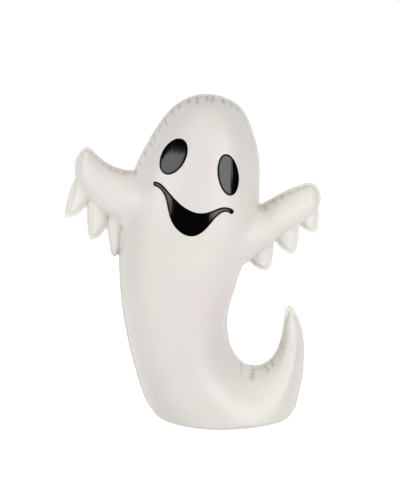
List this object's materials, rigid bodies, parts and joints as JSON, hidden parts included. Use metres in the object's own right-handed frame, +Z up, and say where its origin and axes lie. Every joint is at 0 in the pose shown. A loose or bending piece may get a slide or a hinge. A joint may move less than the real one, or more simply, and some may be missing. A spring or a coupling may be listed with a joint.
{
  "type": "ceramic ghost figure",
  "caption": "Hollow glazed ceramic ghost that looks inflated, with a smiling face, raised arms with a dripping fringe, a hooked tail and a raised seam welt round its outline.",
  "frame": {"origin": "on the surface that the figure stands on, under the middle of its base", "axes": "+Z up, +X to the viewer's right, the face towards -Y"},
  "size_m": [0.1953, 0.0956, 0.2502],
  "materials": {
    "white_glaze": "glossy white glaze",
    "black_glaze": "glossy black glaze",
    "felt": "matt felt"
  },
  "bodies": {
    "root": {"body": "white_glaze", "left_arm": "white_glaze", "right_arm": "white_glaze", "left_eye": "black_glaze", "right_eye": "black_glaze", "mouth": "black_glaze", "felt_base": "felt"}
  },
  "joints": []
}
